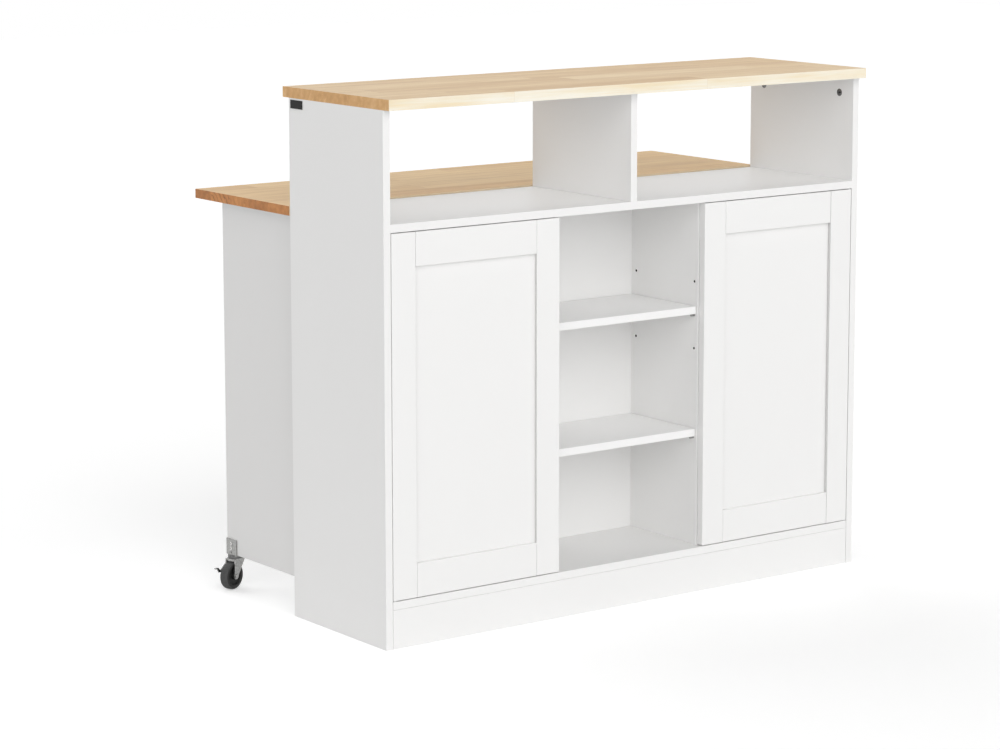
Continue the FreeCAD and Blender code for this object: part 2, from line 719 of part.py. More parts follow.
def caster_screws(caster):
    """Two screws through the bracket's plate into the gate, and the holes for them."""
    name = caster["name"]
    screws = []
    holes = []
    for index, z in enumerate(screw_levels()):
        shank = rod(f"{name}_shank_{index}", "x", "screw_radius", shank_length, plate_x, "0", z)
        head = rod(f"{name}_head_{index}", "x", "screw_head_radius", "screw_head_height",
                   f"{plate_x} - screw_head_height", "0", z)
        screws.append(fuse(f"{name}_screw_{index}", [shank, head]))
        holes.append(rod(f"{name}_screw_hole_{index}", "x", "screw_radius", shank_length, plate_x, "0", z))
    piece(seated(group(f"{name}_caster_screws", screws), caster["fixed"]))
    return seated(group(f"{name}_caster_screw_holes", holes), caster["fixed"])


# Gates: a panel on its two hinges, with a caster at the free end; the bracket faces out, the fork trails at a turn
gate_inset = f"(board + 2 * {leaf_back})"
bracket_turns = {"left": 0, "right": 180}
fork_turns = {"left": 20, "right": 160}
lever_hands = {"left": 1, "right": -1}
for side in sides:
    spot = {"x": from_side(side, f"{gate_inset} + board / 2"), "y": f"{gate_rear_y} - plate_width / 2", "z": "0"}
    upright = FreeCAD.Vector(0, 0, 1)
    caster = {
        "name": side,
        "lever_hand": lever_hands[side],
        "fixed": {**spot, "turn": FreeCAD.Rotation(upright, bracket_turns[side])},
        "turning": {**spot, "turn": FreeCAD.Rotation(upright, fork_turns[side])},
    }
    bracket(caster)
    fork(caster)
    axle(caster)
    wheel(caster)
    pedal(caster)
    holes = moving_leaves(f"{side}_gate", gate_hinges[side])
    holes.append(caster_screws(caster))
    blank = box(f"{side}_gate_blank", from_side(side, gate_inset, "board"), gate_y, "gate_clearance",
                "board", "gate_length", "counter_underside - gate_top_gap - gate_clearance")
    piece(cut(f"{side}_gate_panel", blank, group(f"{side}_gate_holes", holes)))

# Worktop, hinged along the counter shelf
worktop_blank = box("worktop_blank", from_side("left", "0"), leaf_y, "counter_underside",
                    "island_width", "worktop_depth", "worktop_thickness")
worktop_holes = moving_leaves("worktop", worktop_hinges)
piece(cut("worktop", worktop_blank, group("worktop_holes", worktop_holes)))

doc.recompute()
for obj in doc.Objects:
    if "Invalid" in obj.State or "Error" in obj.State:
        raise RuntimeError(f"{obj.Name} failed: {obj.State}")
for obj in pieces:
    if obj.Shape.isNull() or not obj.Shape.isValid():
        raise RuntimeError(f"{obj.Label} has no valid shape")

os.makedirs("parts", exist_ok=True)
for obj in pieces:
    obj.Shape.exportStep(os.path.join("parts", f"{obj.Label}.step"))
    print(obj.Label, len(obj.Shape.Solids), round(obj.Shape.Volume))
print(len(pieces), "pieces")
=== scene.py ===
import json
import math
from functools import partial

import bmesh
import bpy
from mathutils import Matrix, Vector

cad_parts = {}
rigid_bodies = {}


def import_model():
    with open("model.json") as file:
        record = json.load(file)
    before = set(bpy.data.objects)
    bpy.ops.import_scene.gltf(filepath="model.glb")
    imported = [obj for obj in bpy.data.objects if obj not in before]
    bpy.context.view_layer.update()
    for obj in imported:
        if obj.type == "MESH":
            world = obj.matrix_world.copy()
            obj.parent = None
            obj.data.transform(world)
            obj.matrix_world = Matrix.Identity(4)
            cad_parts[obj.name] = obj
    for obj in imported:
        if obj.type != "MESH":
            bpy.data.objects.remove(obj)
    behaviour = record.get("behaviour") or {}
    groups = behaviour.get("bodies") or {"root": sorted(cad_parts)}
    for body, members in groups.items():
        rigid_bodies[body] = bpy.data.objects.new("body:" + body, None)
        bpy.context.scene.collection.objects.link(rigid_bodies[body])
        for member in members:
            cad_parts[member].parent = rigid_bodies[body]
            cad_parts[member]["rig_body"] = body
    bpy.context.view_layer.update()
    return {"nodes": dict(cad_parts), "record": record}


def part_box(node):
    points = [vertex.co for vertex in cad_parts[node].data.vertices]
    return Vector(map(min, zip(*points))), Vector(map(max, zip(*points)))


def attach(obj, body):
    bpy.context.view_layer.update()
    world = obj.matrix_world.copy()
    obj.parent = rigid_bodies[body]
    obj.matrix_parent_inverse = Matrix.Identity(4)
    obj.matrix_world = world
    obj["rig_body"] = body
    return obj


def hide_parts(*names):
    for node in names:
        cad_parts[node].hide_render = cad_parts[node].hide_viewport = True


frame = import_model()
nodes = frame["nodes"]
slotOf = {part["node"]: part["material_slot"] for part in frame["record"]["subparts"]}
jointOf = {joint["child"]: joint for joint in frame["record"]["behaviour"]["joints"]}
scene = bpy.context.scene
print("frame loaded:", len(nodes), "nodes")


# node helpers: each input takes a value or a socket

def addNode(tree, kind, **settings):
    made = tree.nodes.new(kind)
    for name, value in settings.items():
        setattr(made, name, value)
    return made


def feed(tree, socket, value):
    if isinstance(value, bpy.types.NodeSocket):
        tree.links.new(value, socket)
    else:
        socket.default_value = value


def calc(tree, operation, first, second=0.0, third=0.0):
    made = addNode(tree, "ShaderNodeMath", operation=operation)
    for socket, value in zip(made.inputs, (first, second, third)):
        feed(tree, socket, value)
    return made.outputs[0]


def joinXyz(tree, x, y, z):
    made = addNode(tree, "ShaderNodeCombineXYZ")
    for socket, value in zip(made.inputs, (x, y, z)):
        feed(tree, socket, value)
    return made.outputs[0]


def splitXyz(tree, vector):
    made = addNode(tree, "ShaderNodeSeparateXYZ")
    feed(tree, made.inputs[0], vector)
    return made.outputs


def ramp(tree, factor, places, colours):
    made = addNode(tree, "ShaderNodeValToRGB")
    while len(made.color_ramp.elements) < len(places):
        made.color_ramp.elements.new(1.0)
    for element, place, colour in zip(made.color_ramp.elements, places, colours):
        element.position = place
        element.color = (*colour, 1.0)
    feed(tree, made.inputs[0], factor)
    return made.outputs[0]


# the mix node's colours are inputs 6 and 7 and output 2, after those for numbers and vectors
def mixColour(tree, factor, first, second):
    made = addNode(tree, "ShaderNodeMix", data_type="RGBA")
    feed(tree, made.inputs[0], factor)
    for socket, value in zip((made.inputs[6], made.inputs[7]), (first, second)):
        feed(tree, socket, value if isinstance(value, bpy.types.NodeSocket) else (*value, 1.0))
    return made.outputs[2]


def noise(tree, vector, scale, detail, rough=0.55, distortion=0.0):
    made = addNode(tree, "ShaderNodeTexNoise")
    feed(tree, made.inputs["Vector"], vector)
    made.inputs["Scale"].default_value = scale
    made.inputs["Detail"].default_value = detail
    made.inputs["Roughness"].default_value = rough
    made.inputs["Distortion"].default_value = distortion
    return made.outputs["Fac"]


def bump(tree, height, distance, strength):
    made = addNode(tree, "ShaderNodeBump")
    made.inputs["Strength"].default_value = strength
    made.inputs["Distance"].default_value = distance
    feed(tree, made.inputs["Height"], height)
    return made.outputs["Normal"]


def remap(tree, value, low, high):
    return calc(tree, "MULTIPLY_ADD", value, high - low, low)


def newMaterial(name):
    material = bpy.data.materials.new(name)
    material.use_nodes = True
    tree = material.node_tree
    return material, tree, tree.nodes["Principled BSDF"]


# 1 for the camera and for mirrors, to which the floor and the surround look paler than the light they cast
def seenDirectly(tree):
    rays = addNode(tree, "ShaderNodeLightPath")
    seen = calc(tree, "MAXIMUM", rays.outputs["Is Camera Ray"], rays.outputs["Is Glossy Ray"])
    return calc(tree, "MAXIMUM", seen, rays.outputs["Is Transmission Ray"])


# satin lacquer on board: faint drift of tone, fine orange peel
lacquerLook = {
    "tone": (0.912, 0.908, 0.900),
    "shadeTone": (0.896, 0.892, 0.884),
    "roughness": (0.36, 0.46),
    "driftScale": 2.5,
    "driftDetail": 3.0,
    "peelScale": 420.0,
    "peelDetail": 2.0,
    "peelDepth": 0.00002,
    "peelStrength": 0.35,
    "ior": 1.45,
}
# a paler lacquer for the niche boards: painted light on their fronts and tops that sit back in the niche
paintedLightShelfLook = {**lacquerLook, "tone": (0.945, 0.942, 0.936), "shadeTone": (0.930, 0.927, 0.921)}
# a grey for the stiles' inner sides: painted shade of the recess in front of the door panel
paintedShadeRevealLook = {**lacquerLook, "tone": (0.67, 0.665, 0.66), "shadeTone": (0.65, 0.645, 0.64)}
# a darker lacquer for the gate panels: painted shade of their inset place under the worktop
paintedShadeGateLook = {**lacquerLook, "tone": (0.828, 0.822, 0.814), "shadeTone": (0.814, 0.808, 0.800)}


def lacquerMaterial(name, look):
    material, tree, shader = newMaterial(name)
    place = addNode(tree, "ShaderNodeTexCoord").outputs["Object"]
    drift = noise(tree, place, look["driftScale"], look["driftDetail"])
    peel = noise(tree, place, look["peelScale"], look["peelDetail"])
    feed(tree, shader.inputs["Base Color"], mixColour(tree, drift, look["shadeTone"], look["tone"]))
    feed(tree, shader.inputs["Roughness"], remap(tree, peel, *look["roughness"]))
    feed(tree, shader.inputs["Normal"], bump(tree, peel, look["peelDepth"], look["peelStrength"]))
    shader.inputs["IOR"].default_value = look["ior"]
    return material


# edge-glued staves: grain along X, pale long edges, ringed ends, sealed underside
woodGrain = {
    "facing": 0.7,
    "staveWidth": 0.070,
    "staveLength": 0.46,
    "rowSlide": 3.0,
    "staveJump": 37.0,
    "streak": {"along": 3.2, "across": 62.0, "detail": 5.0, "rough": 0.62, "distortion": 0.3},
    "lines": {"along": 7.0, "across": 170.0, "detail": 3.0, "rough": 0.6, "distortion": 0.2},
    "pores": {"along": 26.0, "across": 900.0, "detail": 2.0, "rough": 0.5, "distortion": 0.0},
    "poreLimit": 0.38,
    "poreWeight": 0.12,
    "poreTone": (0.42, 0.25, 0.11),
    "seamWidth": 0.0005,
    "buttSeamWeight": 0.8,
    "seamWeight": 0.28,
    "seamTone": (0.36, 0.20, 0.08),
    "streakWeight": 0.8,
    "staveWeight": 0.30,
    "faceShift": -0.05,
    "facePlaces": (0.30, 0.50, 0.70),
    "linePlaces": (0.36, 0.50),
    "lineWeights": ((0.45, 0.45, 0.45), (0.0, 0.0, 0.0)),
    "edgePlaces": (0.35, 0.62),
    "underTones": ((0.745, 0.75, 0.76), (0.80, 0.81, 0.82)),
    "roughness": (0.40, 0.56),
    "poreRelief": -0.3,
    "reliefDepth": 0.00006,
    "reliefStrength": 0.4,
    "ior": 1.45,
}
# the ends: growth rings about a pith that differs from row to row
endGrain = {
    "staveWidth": woodGrain["staveWidth"],
    "pithSide": (1.0, -3.0),
    "pithMix": 7.3,
    "pithDrop": 0.05,
    "pithBelowMiddle": 0.010,
    "ringPitch": 0.0125,
    "wobbleScale": 60.0,
    "wobbleDetail": 3.0,
    "wobbleWeight": 1.6,
    "ringSharpness": 5.0,
    "ringFade": 1.6,
    "blotchScale": 90.0,
    "blotchDetail": 3.0,
    "blotchWeight": 0.70,
    "rowWeight": 0.30,
    "shift": 0.05,
    "places": (0.05, 0.48, 0.85),
}
barTones = {
    "level": 1.003,
    "face": ((0.62, 0.395, 0.185), (0.76, 0.545, 0.30), (0.87, 0.675, 0.42)),
    "edge": ((0.90, 0.77, 0.54), (0.95, 0.905, 0.785)),
    "end": ((0.50, 0.245, 0.078), (0.68, 0.385, 0.150), (0.86, 0.57, 0.29)),
    "ringWeight": 0.40,
}
worktopTones = {
    "level": 0.780,
    "face": ((0.62, 0.36, 0.136), (0.76, 0.494, 0.216), (0.87, 0.613, 0.305)),
    "edge": ((0.78, 0.62, 0.40), (0.85, 0.70, 0.50)),
    "end": ((0.20, 0.066, 0.012), (0.485, 0.186, 0.043), (0.66, 0.285, 0.078)),
    "ringWeight": -0.75,
}


def grainNoise(tree, spot, jump, look):
    x, y, z = spot
    along = calc(tree, "MULTIPLY_ADD", x, look["along"], jump)
    across = [calc(tree, "MULTIPLY", side, look["across"]) for side in (y, z)]
    return noise(tree, joinXyz(tree, along, *across), 1.0, look["detail"], look["rough"], look["distortion"])


# a line where the fraction of place wraps round
def seamMask(tree, place, width, pitch):
    offset = calc(tree, "ABSOLUTE", calc(tree, "SUBTRACT", calc(tree, "FRACT", place), 0.5))
    return calc(tree, "GREATER_THAN", offset, 0.5 - width / pitch / 2.0)


def endTone(tree, place, z, rowPlace, rowRandom, look, tones):
    sideStart, sideStep = look["pithSide"]
    sideways = calc(tree, "MULTIPLY_ADD", rowRandom, sideStep, sideStart)
    across = calc(tree, "ADD", calc(tree, "FRACT", rowPlace), sideways)
    across = calc(tree, "MULTIPLY", across, look["staveWidth"])
    pith = calc(tree, "FRACT", calc(tree, "MULTIPLY", rowRandom, look["pithMix"]))
    pithTop = tones["level"] - look["pithBelowMiddle"]
    depth = calc(tree, "SUBTRACT", z, calc(tree, "MULTIPLY_ADD", pith, -look["pithDrop"], pithTop))
    reach = addNode(tree, "ShaderNodeVectorMath", operation="LENGTH")
    feed(tree, reach.inputs[0], joinXyz(tree, across, depth, 0.0))
    wobble = noise(tree, place, look["wobbleScale"], look["wobbleDetail"])
    phase = calc(tree, "MULTIPLY_ADD", reach.outputs["Value"], 1.0 / look["ringPitch"],
                 calc(tree, "MULTIPLY", wobble, look["wobbleWeight"]))
    wave = calc(tree, "MULTIPLY", calc(tree, "PINGPONG", phase, 0.5), 2.0)
    ringLine = calc(tree, "POWER", wave, look["ringSharpness"])
    blotch = noise(tree, place, look["blotchScale"], look["blotchDetail"])
    rowShift = calc(tree, "MULTIPLY_ADD", rowRandom, look["rowWeight"], look["shift"])
    mixed = calc(tree, "MULTIPLY_ADD", blotch, look["blotchWeight"], rowShift)
    ringShare = calc(tree, "MULTIPLY", calc(tree, "POWER", pith, look["ringFade"]), tones["ringWeight"])
    mixed = calc(tree, "MULTIPLY_ADD", ringLine, ringShare, mixed)
    return ramp(tree, mixed, look["places"], tones["end"])


def woodMaterial(name, grain, tones):
    material, tree, shader = newMaterial(name)
    texture = addNode(tree, "ShaderNodeTexCoord")
    place = texture.outputs["Object"]
    spot = splitXyz(tree, place)
    x, y, z = spot
    facing = splitXyz(tree, texture.outputs["Normal"])
    onEnd = calc(tree, "GREATER_THAN", calc(tree, "ABSOLUTE", facing[0]), grain["facing"])
    onEdge = calc(tree, "GREATER_THAN", calc(tree, "ABSOLUTE", facing[1]), grain["facing"])
    onUnder = calc(tree, "LESS_THAN", facing[2], -grain["facing"])

    # which stave, and a random number for each row and each stave
    rowPlace = calc(tree, "DIVIDE", y, grain["staveWidth"])
    row = calc(tree, "FLOOR", rowPlace)
    rowNoise = addNode(tree, "ShaderNodeTexWhiteNoise", noise_dimensions="1D")
    feed(tree, rowNoise.inputs["W"], row)
    rowRandom = rowNoise.outputs["Value"]
    slide = calc(tree, "MULTIPLY_ADD", rowRandom, grain["staveLength"] * grain["rowSlide"], x)
    columnPlace = calc(tree, "DIVIDE", slide, grain["staveLength"])
    column = calc(tree, "FLOOR", columnPlace)
    staveNoise = addNode(tree, "ShaderNodeTexWhiteNoise", noise_dimensions="2D")
    feed(tree, staveNoise.inputs["Vector"], joinXyz(tree, row, column, 0.0))
    stave = staveNoise.outputs["Value"]
    staveJump = calc(tree, "MULTIPLY", stave, grain["staveJump"])

    # broad streaks, fine lines and pores, all drawn out along the grain
    streak = grainNoise(tree, spot, staveJump, grain["streak"])
    lines = grainNoise(tree, spot, staveJump, grain["lines"])
    pores = calc(tree, "LESS_THAN", grainNoise(tree, spot, 0.0, grain["pores"]), grain["poreLimit"])

    # glue lines between rows and between the staves of a row
    rowSeam = seamMask(tree, rowPlace, grain["seamWidth"], grain["staveWidth"])
    buttSeam = seamMask(tree, columnPlace, grain["seamWidth"], grain["staveLength"])
    seam = calc(tree, "MAXIMUM", rowSeam, calc(tree, "MULTIPLY", buttSeam, grain["buttSeamWeight"]))

    # the face, the long edges, the underside and the ends
    staveShift = calc(tree, "MULTIPLY_ADD", stave, grain["staveWeight"], grain["faceShift"])
    mixed = calc(tree, "MULTIPLY_ADD", streak, grain["streakWeight"], staveShift)
    face = ramp(tree, mixed, grain["facePlaces"], tones["face"])
    lineMask = ramp(tree, lines, grain["linePlaces"], grain["lineWeights"])
    face = mixColour(tree, lineMask, face, tones["face"][0])
    face = mixColour(tree, calc(tree, "MULTIPLY", pores, grain["poreWeight"]), face, grain["poreTone"])
    edge = ramp(tree, streak, grain["edgePlaces"], tones["edge"])
    under = ramp(tree, streak, grain["edgePlaces"], grain["underTones"])
    ends = endTone(tree, place, z, rowPlace, rowRandom, endGrain, tones)

    colour = mixColour(tree, onEdge, face, edge)
    colour = mixColour(tree, onEnd, colour, ends)
    colour = mixColour(tree, calc(tree, "MULTIPLY", seam, grain["seamWeight"]), colour, grain["seamTone"])
    colour = mixColour(tree, onUnder, colour, under)
    feed(tree, shader.inputs["Base Color"], colour)
    feed(tree, shader.inputs["Roughness"], remap(tree, streak, *grain["roughness"]))
    relief = calc(tree, "MULTIPLY_ADD", pores, grain["poreRelief"], streak)
    feed(tree, shader.inputs["Normal"], bump(tree, relief, grain["reliefDepth"], grain["reliefStrength"]))
    shader.inputs["IOR"].default_value = grain["ior"]
    return material


# zinc, bright or cast: mottled, with fine rolling lines; the dark cast one also serves as painted shade in
# cross recesses and caster races
zincLook = {"tones": ((0.24, 0.24, 0.235), (0.46, 0.46, 0.45)), "roughness": (0.22, 0.38)}
darkZincAndShadeLook = {"tones": ((0.10, 0.10, 0.10), (0.20, 0.20, 0.20)), "roughness": (0.30, 0.50)}
headLook = {"tones": ((0.50, 0.49, 0.48), (0.78, 0.77, 0.76)), "roughness": (0.18, 0.30)}
metalGrain = {
    "mottleScale": 260.0,
    "mottleDetail": 4.0,
    "mottleRough": 0.6,
    "mottlePlaces": (0.3, 0.7),
    "lineScale": (200.0, 200.0, 3000.0),
    "lineDetail": 2.0,
    "lineDepth": 0.00002,
    "lineStrength": 0.3,
}


def metalMaterial(name, look, grain):
    material, tree, shader = newMaterial(name)
    place = addNode(tree, "ShaderNodeTexCoord").outputs["Object"]
    mottle = noise(tree, place, grain["mottleScale"], grain["mottleDetail"], grain["mottleRough"])
    stretched = addNode(tree, "ShaderNodeMapping")
    stretched.inputs["Scale"].default_value = grain["lineScale"]
    feed(tree, stretched.inputs["Vector"], place)
    lines = noise(tree, stretched.outputs[0], 1.0, grain["lineDetail"])
    feed(tree, shader.inputs["Base Color"], ramp(tree, mottle, grain["mottlePlaces"], look["tones"]))
    feed(tree, shader.inputs["Roughness"], remap(tree, mottle, *look["roughness"]))
    feed(tree, shader.inputs["Normal"], bump(tree, lines, grain["lineDepth"], grain["lineStrength"]))
    shader.inputs["Metallic"].default_value = 1.0
    return material


# moulded plastics and raw board: fine speckle of gloss over a slightly uneven tone; the raw board is near
# black, partly painted shade of the holes and grooves it lines
plasticLooks = {
    "blackTread": {"tones": ((0.050, 0.050, 0.050), (0.090, 0.090, 0.090)), "roughness": (0.55, 0.75),
                   "grain": 900.0, "gloss": 0.3},
    "blackRim": {"tones": ((0.014, 0.013, 0.013), (0.026, 0.025, 0.024)), "roughness": (0.40, 0.55),
                 "grain": 600.0, "gloss": 0.3},
    # the blackest plastic, for the wheel hubs in their sunk web and as painted shade in the cam locks' cross
    # recesses
    "blackHubAndRecessShade": {"tones": ((0.006, 0.006, 0.006), (0.012, 0.012, 0.011)), "roughness": (0.35, 0.50),
                 "grain": 500.0, "gloss": 0.2},
    "rawBoardAndHoleShade": {"tones": ((0.010, 0.009, 0.008), (0.026, 0.023, 0.020)), "roughness": (0.75, 0.95),
                 "grain": 1200.0, "gloss": 0.1},
    "palePlastic": {"tones": ((0.56, 0.56, 0.55), (0.66, 0.66, 0.65)), "roughness": (0.38, 0.52),
                    "grain": 700.0, "gloss": 0.5},
    "blackTag": {"tones": ((0.010, 0.010, 0.010), (0.030, 0.030, 0.030)), "roughness": (0.50, 0.70),
                 "grain": 1600.0, "gloss": 0.15},
}
plasticGrain = {"detail": 3.0, "rough": 0.6, "depth": 0.00005, "strength": 0.4}


def plasticMaterial(name, look, speckle):
    material, tree, shader = newMaterial(name)
    place = addNode(tree, "ShaderNodeTexCoord").outputs["Object"]
    grain = noise(tree, place, look["grain"], speckle["detail"], speckle["rough"])
    feed(tree, shader.inputs["Base Color"], mixColour(tree, grain, *look["tones"]))
    feed(tree, shader.inputs["Roughness"], remap(tree, grain, *look["roughness"]))
    feed(tree, shader.inputs["Normal"], bump(tree, grain, speckle["depth"], speckle["strength"]))
    shader.inputs["Specular IOR Level"].default_value = look["gloss"]
    return material


lacquer = lacquerMaterial("satinWhiteLacquer", lacquerLook)
paintedLightShelfLacquer = lacquerMaterial("satinShelfPaintedLight", paintedLightShelfLook)
paintedShadeRevealLacquer = lacquerMaterial("satinRevealPaintedShade", paintedShadeRevealLook)
paintedShadeGateLacquer = lacquerMaterial("satinGatePaintedShade", paintedShadeGateLook)
barWood = woodMaterial("barTopWood", woodGrain, barTones)
worktopWood = woodMaterial("worktopWood", woodGrain, worktopTones)
zinc = metalMaterial("brightZinc", zincLook, metalGrain)
darkZincAndRecessShade = metalMaterial("darkZincAndRecessShade", darkZincAndShadeLook, metalGrain)
headZinc = metalMaterial("polishedHead", headLook, metalGrain)
plastics = {name: plasticMaterial(name, look, plasticGrain) for name, look in plasticLooks.items()}
print("materials made")


# finishing: a copy of the solid, merged, with its arrises eased
finishing = {
    "mergeDistance": 0.000002,
    "flatDegrees": 0.5,
    "arrisDegrees": 50,
    "smoothDegrees": 40,
    "nearFace": 0.00001,
    "facing": 0.99,
}


def mountPiece(piece, node):
    scene.collection.objects.link(piece)
    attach(piece, nodes[node]["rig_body"])
    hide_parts(node)
    return piece


def finishMesh(bm, node, materials, smoothDegrees):
    mesh = bpy.data.meshes.new(f"{node}_finish")
    for material in materials:
        mesh.materials.append(material)
    bm.to_mesh(mesh)
    bm.free()
    mesh.shade_smooth()
    mesh.set_sharp_from_angle(angle=math.radians(smoothDegrees))
    return mountPiece(bpy.data.objects.new(f"{node}_finish", mesh), node)


def easedCopy(node, ease, segments, materials, detail=None, trim=None):
    bm = bmesh.new()
    bm.from_mesh(nodes[node].data)
    bmesh.ops.remove_doubles(bm, verts=bm.verts, dist=finishing["mergeDistance"])
    if trim:
        trimSides(bm, trim)
    bmesh.ops.dissolve_limit(bm, angle_limit=math.radians(finishing["flatDegrees"]), verts=bm.verts,
                             edges=bm.edges)
    sharp = math.radians(finishing["arrisDegrees"])
    arrises = [edge for edge in bm.edges if edge.is_manifold and edge.calc_face_angle() > sharp]
    bmesh.ops.bevel(bm, geom=arrises, offset=ease, offset_type="OFFSET", segments=segments, profile=0.5,
                    affect="EDGES", clamp_overlap=True, material=-1)
    if detail:
        detail(bm)
    piece = finishMesh(bm, node, materials, finishing["smoothDegrees"])
    weighted = piece.modifiers.new("evenNormals", "WEIGHTED_NORMAL")
    weighted.keep_sharp = True


# takes a little off the outermost faces, so that a thin joint line opens beside them
def trimSides(bm, trim):
    for axis in range(3):
        places = [vert.co[axis] for vert in bm.verts]
        low, high = min(places), max(places)
        for vert in bm.verts:
            if vert.co[axis] - low < finishing["nearFace"]:
                vert.co[axis] += trim["low"][axis]
            elif high - vert.co[axis] < finishing["nearFace"]:
                vert.co[axis] -= trim["high"][axis]


# faces well inside the box, the walls of holes and grooves, take the second material, a near-black raw board
# that is partly painted shade of the holes
def markInside(bm, margin):
    corners = [vert.co for vert in bm.verts]
    low = [min(corner[axis] for corner in corners) for axis in range(3)]
    high = [max(corner[axis] for corner in corners) for axis in range(3)]
    for face in bm.faces:
        middle = face.calc_center_median()
        depths = [min(middle[axis] - low[axis], high[axis] - middle[axis]) for axis in range(3)]
        face.material_index = 1 if min(depths) > margin else 0


# cross recesses in round heads that face along X: outward 1 is away from the middle, -1 towards it; the sunk
# cross takes the second material, dark, as painted shade in the recess
crossLooks = {
    "screw": {"outward": 1, "leastArea": 0.000015, "rim": 0.0, "sink": 0.0,
              "armWidth": 0.0005, "armLength": 0.0021, "depth": 0.0006},
    "camLock": {"outward": -1, "leastArea": 0.00010, "rim": 0.0011, "sink": 0.0005,
                "armWidth": 0.0011, "armLength": 0.0040, "depth": 0.0022},
}


def sinkCrosses(bm, look):
    heads = []
    for face in bm.faces:
        outward = math.copysign(1.0, face.calc_center_median().x) * look["outward"]
        if face.normal.x * outward > finishing["facing"] and face.calc_area() > look["leastArea"]:
            heads.append(face)
    for head in heads:
        if look["rim"]:
            bmesh.ops.inset_individual(bm, faces=[head], thickness=look["rim"], depth=-look["sink"])
        sinkCross(bm, head, look)


def sinkCross(bm, head, look):
    centre = head.calc_center_median()
    inward = -head.normal.copy()
    faces = [head]
    for across in (Vector((0, 1, 0)), Vector((0, 0, 1))):
        for reach in (look["armWidth"], look["armLength"]):
            for way in (-1, 1):
                geom = set(faces)
                for face in faces:
                    geom.update(face.edges, face.verts)
                cut = bmesh.ops.bisect_plane(bm, geom=list(geom), plane_co=centre + across * (reach * way),
                                             plane_no=across)
                faces = [item for item in cut["geom"] if isinstance(item, bmesh.types.BMFace)]
    arms = []
    for face in faces:
        offset = face.calc_center_median() - centre
        narrow, long = sorted((abs(offset.y), abs(offset.z)))
        if narrow < look["armWidth"] and long < look["armLength"]:
            arms.append(face)
    sunk = bmesh.ops.extrude_face_region(bm, geom=arms)
    verts = [item for item in sunk["geom"] if isinstance(item, bmesh.types.BMVert)]
    bmesh.ops.translate(bm, verts=verts, vec=inward * look["depth"])
    bmesh.ops.delete(bm, geom=[face for face in arms if face.is_valid], context="FACES_ONLY")
    # the sunk arms take the dark second material: painted shade
    for item in sunk["geom"]:
        if isinstance(item, bmesh.types.BMFace):
            item.material_index = 1


# white boards and door frames, with the joint lines that show on the front
boards = {
    "ease": 0.0006,
    "frameEase": 0.0011,
    "segments": 2,
    "holeDepth": 0.0016,
    "pinHoleDepth": 0.0003,
    "revealReach": 0.0001,
    "names": [name for name, slot in slotOf.items() if slot == "white_board"],
}
jointLines = {
    "_stile": {"low": (0.0, 0.0, 0.0), "high": (0.0, 0.0, 0.0003)},
    "_top_rail": {"low": (0.0005, 0.0, 0.0), "high": (0.0005, 0.0, 0.0003)},
    "_bottom_rail": {"low": (0.0005, 0.0, 0.0), "high": (0.0005, 0.0, 0.0)},
    "_door_panel": {"low": (0.0, 0.0006, 0.0), "high": (0.0, 0.0, 0.0)},
    "plinth": {"low": (0.0009, 0.0, 0.0), "high": (0.0009, 0.0, 0.0004)},
    "bottom_board": {"low": (0.0009, 0.0, 0.0), "high": (0.0009, 0.0, 0.0)},
}


# the strip of a stile's inner side that stands in front of the panel takes the third material, a grey that is
# painted shade of the panel's recess
def markRevealShade(bm, panel):
    markInside(bm, boards["holeDepth"])
    low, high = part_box(panel)
    middle = (low[0] + high[0]) / 2
    bmesh.ops.bisect_plane(bm, geom=[*bm.verts, *bm.edges, *bm.faces], plane_co=(0, low[1], 0),
                           plane_no=(0, 1, 0))
    inner = min((vert.co.x for vert in bm.verts), key=lambda place: abs(place - middle))
    for face in bm.faces:
        centre = face.calc_center_median()
        sideways = abs(face.normal.x) > finishing["facing"]
        innermost = abs(centre.x - inner) < boards["revealReach"]
        if sideways and innermost and centre.y < low[1]:
            face.material_index = 2


for name in boards["names"]:
    ease = boards["frameEase"] if name.endswith(("_stile", "_rail")) else boards["ease"]
    coat = lacquer
    # gate panels take the darker tone, painted shade
    if "gate" in name:
        coat = paintedShadeGateLacquer
    # niche boards take the paler tone, painted light
    elif name.startswith("niche"):
        coat = paintedLightShelfLacquer
    if name.endswith("_stile"):
        mark = partial(markRevealShade, panel=name.split("_door_")[0] + "_door_panel")
    else:
        depth = boards["pinHoleDepth"] if name.endswith("_divider") else boards["holeDepth"]
        mark = partial(markInside, margin=depth)
    trim = next((lines for ending, lines in jointLines.items() if name.endswith(ending)), None)
    easedCopy(name, ease, boards["segments"], (coat, plastics["rawBoardAndHoleShade"], paintedShadeRevealLacquer), mark, trim)
print("white boards:", len(boards["names"]))

# wood tops
topLook = {"ease": 0.0018, "segments": 3}
for name, material in (("bar_top", barWood), ("worktop", worktopWood)):
    easedCopy(name, topLook["ease"], topLook["segments"], (material,))
print("wood tops done")

# fittings that keep the solid's shape, with eased arrises; the casters' races are painted dark, as shade
# between the plate and the fork
fittings = {
    "zinc_steel": (zinc, 0.0003),
    "dark_zinc": (darkZincAndRecessShade, 0.0004),
    "grey_plastic": (plastics["palePlastic"], 0.0004),
    "black_tag": (plastics["blackTag"], 0.0004),
}
fittingLook = {"segments": 2, "raceDrop": 0.0024}
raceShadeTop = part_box("left_gate_panel")[0][2] - fittingLook["raceDrop"]


# bracket faces below the panel's underside take the dark second material: painted shade of the race
def markRaceShade(bm):
    for face in bm.faces:
        face.material_index = 1 if face.calc_center_median().z < raceShadeTop else 0


